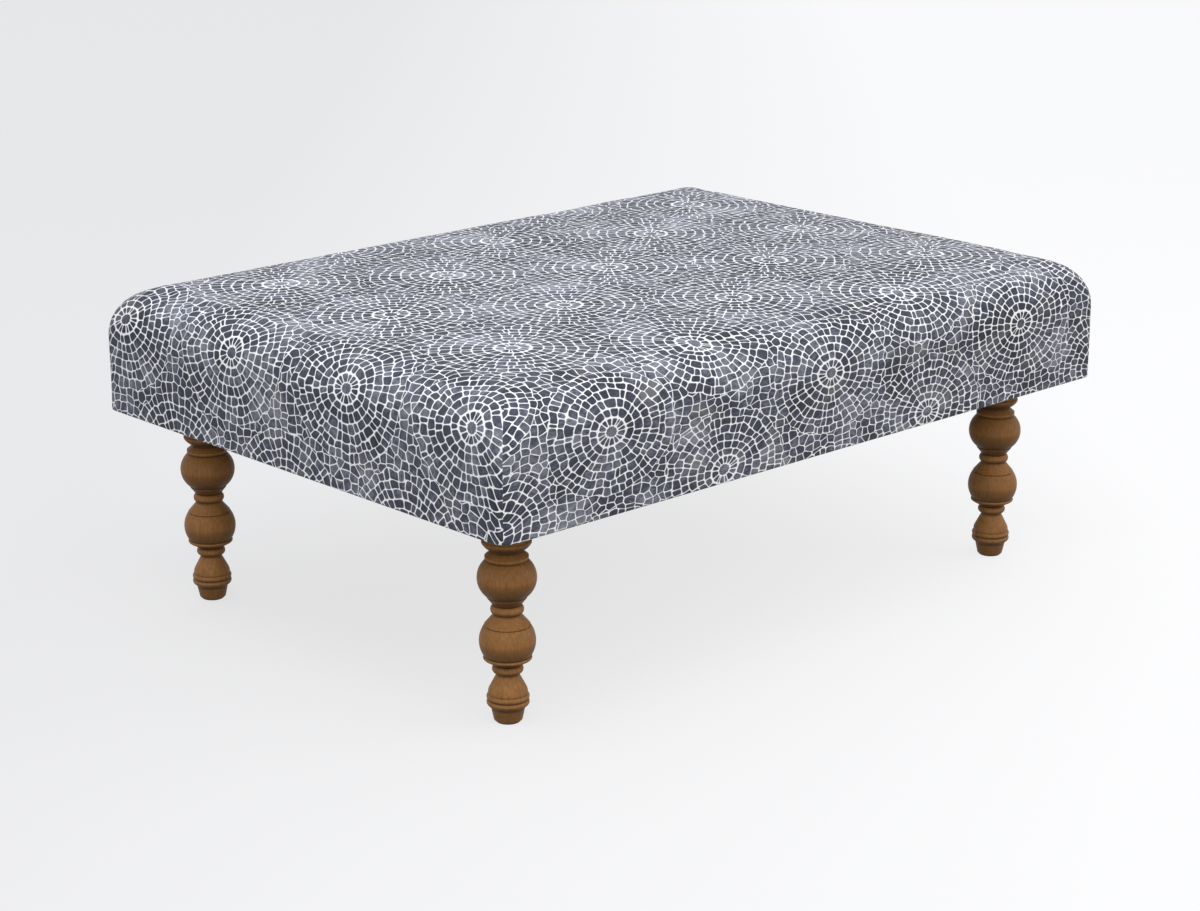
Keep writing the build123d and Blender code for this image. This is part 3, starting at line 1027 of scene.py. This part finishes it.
@dataclass
class TurnedLeg:
    """One leg, turned from a single blank: collar, flange, ball, bell, vase, double bead and tapered foot.

    The outline is in millimetres above the floor, and ends at the frame's underside.
    """

    corner: Corner
    segments: int = 72
    spacing: float = 1.3
    # Faces that meet at more than this angle, in degrees, show an edge
    crease: float = 32
    # How much painted shade lies under the rounds, how wide a stretch a groove is measured against, and how deep
    # one has to be to get the full darkening of stain and painted shade
    under_painted_shade: float = 1.0
    groove: float = 2.4
    groove_full: float = 1.2
    cuts: tuple[Cut, ...] = (
        # foot, long taper and its shoulder
        Cut((15.5, 2)),
        Cut((16.2, 2.8)),
        Cut((19.4, 17.5)),
        Cut((22.2, 19.8)),
        # double bead
        Cut((22.7, 26.8), (24.2, 23.3)),
        Cut((22.3, 33.4), (24.2, 30.2)),
        # vase that falls in to the thinnest place
        Cut((20.8, 41), (22.2, 37.2)),
        Cut((13.2, 55.6)),
        Cut((13.2, 57.6)),
        # small bead under the bell
        Cut((14.6, 67.6), (17.7, 63)),
        Cut((26.6, 74.6)),
        Cut((26.3, 78.4), (27.6, 76.4)),
        # bell, the fine groove above it and its shoulder
        Cut((26.5, 113.6), (31.9, 95.6)),
        Cut((25.2, 114.4)),
        Cut((26.0, 115.2)),
        Cut((16.3, 126.6)),
        Cut((16.3, 128)),
        # small bead under the ball
        Cut((15.8, 138.4), (18.9, 133.2)),
        Cut((22.6, 147)),
        Cut((22.3, 148.2)),
        # ball and its shoulder
        Cut((23.6, 190.8), (33.5, 170.4)),
        Cut((24.6, 192.4)),
        Cut((24.6, 195.6)),
        Cut((17.8, 201.2)),
        Cut((17.8, 202.4)),
        # flange and collar
        Cut((28, 210.8), (24.6, 206.4)),
        Cut((28, 213)),
        Cut((26.5, 214.5)),
        Cut((26.5, 246.5)),
    )

    @property
    def collar(self) -> float:
        """The radius of the collar that goes up against the frame."""
        return self.cuts[-1].end[0] * MM

    def place(self) -> tuple[Vector, float]:
        """Work out where the leg stands from the frame's own legs.

        Returns:
            The middle of the foot, and the height of the leg's top.
        """
        side_x, side_y = self.corner.value
        low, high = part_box("front_legs" if side_y < 0 else "back_legs")
        radius = (high.y - low.y) / 2
        return Vector((side_x * (high.x - radius), (low.y + high.y) / 2, low.z)), high.z

    def outline(self) -> list[tuple[float, float]]:
        """List the outline's points from the foot's middle up.

        Returns:
            Points as radius and height in millimetres.
        """
        points = [(0.0, self.cuts[0].end[1])]
        for cut in self.cuts:
            points += cut.points(points[-1], self.spacing)
        return [*points, (0.0, self.cuts[-1].end[1])]

    def painted_shade_and_stain(self, points: Sequence[tuple[float, float]]) -> list[float]:
        """Work out where the turning is darkened: with painted shade under the rounds, and with stain and painted
        shade in the grooves.

        Args:
            points: The outline's points.

        Returns:
            How dark each point gets, from none to 1.
        """
        depths = []
        for at, (radius, height) in enumerate(points):
            below, above = points[max(at - 1, 0)], points[min(at + 1, len(points) - 1)]
            slope = math.atan2(above[0] - below[0], above[1] - below[1])
            # Painted shade under the rounds: the more a face looks down, the darker it is painted
            depth = self.under_painted_shade * math.sqrt(max(math.sin(slope), 0))
            # Stain and painted shade in the grooves: the deeper a point lies below its neighbours, the darker
            near = [r for r, h in points if abs(h - height) < self.groove]
            depth += max((sum(near) / len(near) - radius) / self.groove_full, 0)
            depths.append(min(depth, 1.0))
        return depths

    def build(self) -> Piece:
        """Turn the leg, with its painted shade under the rounds and the depth of its grooves kept for the darkening.

        Returns:
            The leg.
        """
        foot, top = self.place()
        points = self.outline()
        stretch = top / (self.cuts[-1].end[1] * MM)
        mesh = bmesh.new()
        # Each point keeps how dark it gets: painted shade under the rounds, stain and painted shade in the grooves
        shade_and_stain = mesh.verts.layers.float.new("shade_and_stain")
        line = []
        for (radius, height), depth in zip(points, self.painted_shade_and_stain(points)):
            vert = mesh.verts.new((radius * MM, 0, height * MM * stretch))
            vert[shade_and_stain] = depth
            line.append(vert)
        for lower, upper in zip(line, line[1:]):
            mesh.edges.new((lower, upper))
        bmesh.ops.spin(
            mesh,
            geom=[*mesh.verts, *mesh.edges],
            axis=(0, 0, 1),
            cent=(0, 0, 0),
            angle=TURN,
            steps=self.segments,
            use_merge=True,
        )
        bmesh.ops.remove_doubles(mesh, verts=mesh.verts, dist=0.01 * MM)
        bmesh.ops.recalc_face_normals(mesh, faces=mesh.faces)
        bmesh.ops.translate(mesh, verts=mesh.verts, vec=(foot.x, foot.y, 0))
        leg = new_piece(f"leg_{self.corner.name.lower()}", mesh, LEG_WOOD)
        leg.data.set_sharp_from_angle(angle=math.radians(self.crease))
        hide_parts("front_legs" if self.corner.value[1] < 0 else "back_legs")
        return leg


@dataclass
class Glides:
    """The four moulded glides: discs with eased rims, each held by a nail in a countersink."""

    rim: float = 0.6 * MM
    rim_segments: int = 3
    nail_radius: float = 3.2 * MM
    nail_depth: float = 0.8 * MM
    countersink: float = 4.6 * MM
    segments: int = 48
    # Faces that meet at more than this angle, in degrees, show an edge
    crease: float = 40

    def build(self, feet: Iterable[Vector]) -> Piece:
        """Make one disc under each foot.

        Args:
            feet: The middles of the legs' undersides.

        Returns:
            The glides, as one piece.
        """
        low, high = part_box("foot_glides")
        mesh = bmesh.new()
        for foot in feet:
            radius = high.x - abs(foot.x)
            disc = bmesh.ops.create_cone(
                mesh,
                cap_ends=True,
                segments=self.segments,
                radius1=radius,
                radius2=radius,
                depth=high.z - low.z,
                matrix=Matrix.Translation((foot.x, foot.y, (low.z + high.z) / 2)),
            )["verts"]
            rims = {e for v in disc for e in v.link_edges if abs(e.verts[0].co.z - e.verts[1].co.z) < 0.1 * MM}
            bevel(mesh, rims, self.rim, self.rim_segments)
        # The discs' undersides are the only faces that look down and have more corners than a bevel's
        under = [f for f in mesh.faces if f.normal.z < -0.9 and len(f.verts) > 8]
        for size, depth in ((self.countersink, 0.0), (self.nail_radius, self.nail_depth)):
            for face in under:
                middle = face.calc_center_median()
                span = (face.verts[0].co - middle).length
                bmesh.ops.inset_region(mesh, faces=[face], thickness=span - size, depth=-depth)
        glides = new_piece("glides", mesh, GLIDE_PLASTIC)
        glides.data.set_sharp_from_angle(angle=math.radians(self.crease))
        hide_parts("foot_glides")
        return glides


@dataclass
class DustCover:
    """The thin black cloth stapled under the frame, with a hole for each leg's collar."""

    hole_gap: float = 1 * MM
    hole_segments: int = 40
    staple_spacing: float = 52 * MM
    staple_in: float = 9 * MM
    staple_long: float = 11 * MM
    staple_wide: float = 1.05 * MM
    staple_thick: float = 0.7 * MM

    def build(self, legs: Sequence[Vector], collar: float) -> Piece:
        """Make the cloth and its staples.

        Args:
            legs: The middles of the legs.
            collar: The radius of the legs' collars.

        Returns:
            The cloth.
        """
        low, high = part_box("dust_cover")
        size = high - low
        mesh = bmesh.new()
        outer = bmesh.ops.create_grid(mesh, x_segments=1, y_segments=1, size=0.5)["verts"]
        for vert in outer:
            vert.co = Vector((vert.co.x * size.x, vert.co.y * size.y, high.z))
        bmesh.ops.delete(mesh, geom=list(mesh.faces), context="FACES_ONLY")
        for leg in legs:
            spot = Matrix.Translation((leg.x, leg.y, high.z))
            bmesh.ops.create_circle(mesh, segments=self.hole_segments, radius=collar + self.hole_gap, matrix=spot)
        bmesh.ops.triangle_fill(mesh, use_beauty=True, edges=list(mesh.edges), normal=(0, 0, -1))
        bmesh.ops.recalc_face_normals(mesh, faces=mesh.faces)
        under = mesh.faces[:][0]
        if under.normal.z > 0:
            bmesh.ops.reverse_faces(mesh, faces=mesh.faces)
        cloth = new_piece("dust_cloth", mesh, DUST_CLOTH, smooth=False)
        thick = cloth.modifiers.new("cloth", "SOLIDIFY")
        thick.thickness = size.z
        thick.offset = -1
        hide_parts("dust_cover")
        staples = self.build_staples(low, high)
        return cloth

    def build_staples(self, low: Vector, high: Vector) -> Piece:
        """Set staples along the cloth's four edges, in line with each.

        Args:
            low: The cloth's lowest corner.
            high: The cloth's highest corner.

        Returns:
            The staples, as one piece.
        """
        mesh = bmesh.new()
        half = (high - low) / 2
        for along, across in ((0, 1), (1, 0)):
            reach = half[along] - self.staple_in * 2
            count = round(2 * reach / self.staple_spacing)
            for side in (-1, 1):
                for number in range(count + 1):
                    # A quarter of the crown's thickness is pressed into the cloth
                    middle = Vector((0, 0, low.z - self.staple_thick / 4))
                    middle[along] = -reach + 2 * reach * number / count
                    middle[across] = side * (half[across] - self.staple_in)
                    self.add_staple(mesh, middle, along)
        return new_piece("dust_cover_staples", mesh, ZINC)

    def add_staple(self, mesh: Mesh, middle: Vector, along: int) -> None:
        """Add one staple's crown, a flattened wire with eased edges.

        Args:
            mesh: The staples' mesh.
            middle: Where the crown's middle goes.
            along: The number of the axis that it lies along.
        """
        size = Vector((self.staple_wide, self.staple_wide, self.staple_thick))
        size[along] = self.staple_long
        made = bmesh.ops.create_cube(mesh, size=1, matrix=Matrix.Translation(middle) @ Matrix.Diagonal((*size, 1)))
        bevel(mesh, {edge for vert in made["verts"] for edge in vert.link_edges}, self.staple_thick / 4, segments=1)


@dataclass(frozen=True)
class Softbox:
    """A square lamp behind cloth, which faces the stool. Its power is in watts."""

    name: str
    place: tuple[float, float, float]
    size: float
    power: float
    tint: str

    def build(self) -> None:
        """Hang the lamp."""
        light = bpy.data.lights.new(self.name, "AREA")
        light.energy = self.power
        light.size = self.size
        light.color = linear(self.tint)[:3]
        lamp = bpy.data.objects.new(self.name, light)
        lamp.location = self.place
        lamp.rotation_euler = (-Vector(self.place)).to_track_quat("-Z", "Y").to_euler()
        bpy.context.scene.collection.objects.link(lamp)


@dataclass
class Studio:
    """A pale floor, soft light from above and the camera that the photograph was taken with."""

    # From a fit of the stool's corners and legs to the photograph
    camera_place: tuple[float, float, float] = (-2.3244, -2.4510, 1.1782)
    camera_yaw: float = 0.8158
    camera_pitch: float = 0.2926
    lens: float = 82.95
    sensor: float = 36.0
    floor_size: float = 40.0
    floor_grey: str = "#7B7A75"
    # The share of light that the floor sends back to the camera, which makes the shadow as pale as it is
    floor_seen: float = 0.16
    # The floor's glow to the camera at two places across the picture, in metres to the right of the stool
    glow_across: tuple[float, float] = (-0.75, 0.75)
    glow: tuple[float, float] = (0.66, 0.81)
    sky: float = 0.93
    sky_tint: str = "#F1F4FF"
    backdrop: float = 0.95
    softboxes: tuple[Softbox, ...] = (
        Softbox("softbox above", (-1.2, -1.2, 2.95), 2.4, 34.0, "#FFFFFF"),
        Softbox("softbox in front", (-3.0, -2.6, 1.0), 1.8, 20.0, "#FFF6EA"),
        Softbox("softbox at the right", (2.3, -2.6, 1.7), 1.8, 22.0, "#FFF6EA"),
    )

    def build(self) -> None:
        """Set up the floor, the lights and the camera."""
        scene = bpy.context.scene
        scene.view_settings.view_transform = "Standard"
        self.build_floor()
        scene.world = self.build_sky()
        for softbox in self.softboxes:
            softbox.build()
        eye = bpy.data.cameras.new("camera")
        eye.lens = self.lens
        eye.sensor_width = self.sensor
        eye.sensor_fit = "HORIZONTAL"
        camera = bpy.data.objects.new("camera", eye)
        camera.location = self.camera_place
        camera.rotation_euler = (math.pi / 2 - self.camera_pitch, 0, self.camera_yaw - math.pi / 2)
        scene.collection.objects.link(camera)
        scene.camera = camera

    @staticmethod
    def seen(tree: Tree) -> Socket:
        """Tell the rays that show the backdrop, straight or in gloss or glass, from those that light.

        Args:
            tree: The node tree of the backdrop.

        Returns:
            1 for a ray that shows it, 0 for any other.
        """
        seen = add_node(tree, "LightPath", output="Is Camera Ray")
        path = seen.node.outputs
        for other in ("Is Glossy Ray", "Is Transmission Ray"):
            seen = add_node(tree, "Math", seen, path[other], operation="MAXIMUM")
        return seen

    def build_sky(self) -> bpy.types.World:
        """Light the stool evenly from all round, in front of a near white backdrop.

        Returns:
            The world.
        """
        world = bpy.data.worlds.new("studio")
        world.use_nodes = True
        tree = world.node_tree
        seen = self.seen(tree)
        add = partial(add_node, tree)
        colour = add("Mix", {0: seen, 6: linear(self.sky_tint), 7: WHITE}, data_type="RGBA", output=2)
        strength = add("Mix", {0: seen, 2: self.sky, 3: self.backdrop})
        feed(tree, tree.nodes["Background"], {"Color": colour, "Strength": strength})
        return world

    def build_floor(self) -> None:
        """Lay a floor that shows near white to the camera, keeps the stool's shadow and pales to one side."""
        mesh = bmesh.new()
        bmesh.ops.create_grid(mesh, x_segments=1, y_segments=1, size=self.floor_size)
        data = bpy.data.meshes.new("floor")
        mesh.to_mesh(data)
        mesh.free()
        floor = bpy.data.objects.new("floor", data)
        bpy.context.scene.collection.objects.link(floor)
        paper = bpy.data.materials.new("matt paper")
        paper.use_nodes = True
        self.dress_floor(paper.node_tree)
        data.materials.append(paper)

    def dress_floor(self, tree: Tree) -> None:
        """Dress the floor as matt paper that also glows to the camera, and more so towards one side.

        Args:
            tree: The node tree of the paper.
        """
        add = partial(add_node, tree)
        seen = self.seen(tree)
        metres = add("TexCoord", output="Object")
        rightwards = (math.sin(self.camera_yaw), -math.cos(self.camera_yaw), 0.0)
        across = add("VectorMath", metres, rightwards, operation="DOT_PRODUCT", output="Value")
        (left, right), (dim, bright) = self.glow_across, self.glow
        glow = add("MapRange", {0: across, 1: left, 2: right, 3: dim, 4: bright})
        shown = (self.floor_seen, self.floor_seen, self.floor_seen, 1)
        colour = add("Mix", {0: seen, 6: linear(self.floor_grey), 7: shown}, data_type="RGBA", output=2)
        strength = add("Math", glow, seen, operation="MULTIPLY")
        shader = tree.nodes["Principled BSDF"]
        feed(tree, shader, {"Base Color": colour, "Roughness": 1.0, "Specular IOR Level": 0.0})
        feed(tree, shader, {"Emission Color": WHITE, "Emission Strength": strength})


def dress_kept_nodes() -> None:
    """Finish the nodes of the frame that stay inside the stool."""
    for name, finish in KEPT_NODES.items():
        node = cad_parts[name]
        node.data.materials.clear()
        node.data.materials.append(finish.material())
        log.info("%s: %s", name, finish.name)


def main() -> None:
    """Build the stool around the frame, then the studio."""
    logging.basicConfig(level=logging.INFO, format="%(message)s")
    dress_kept_nodes()
    PaddedCover().build()
    legs = [TurnedLeg(corner) for corner in Corner]
    for leg in legs:
        leg.build()
    feet = [leg.place()[0] for leg in legs]
    Glides().build(feet)
    DustCover().build(feet, collar=legs[0].collar)
    Studio().build()


if __name__ == "__main__":
    main()
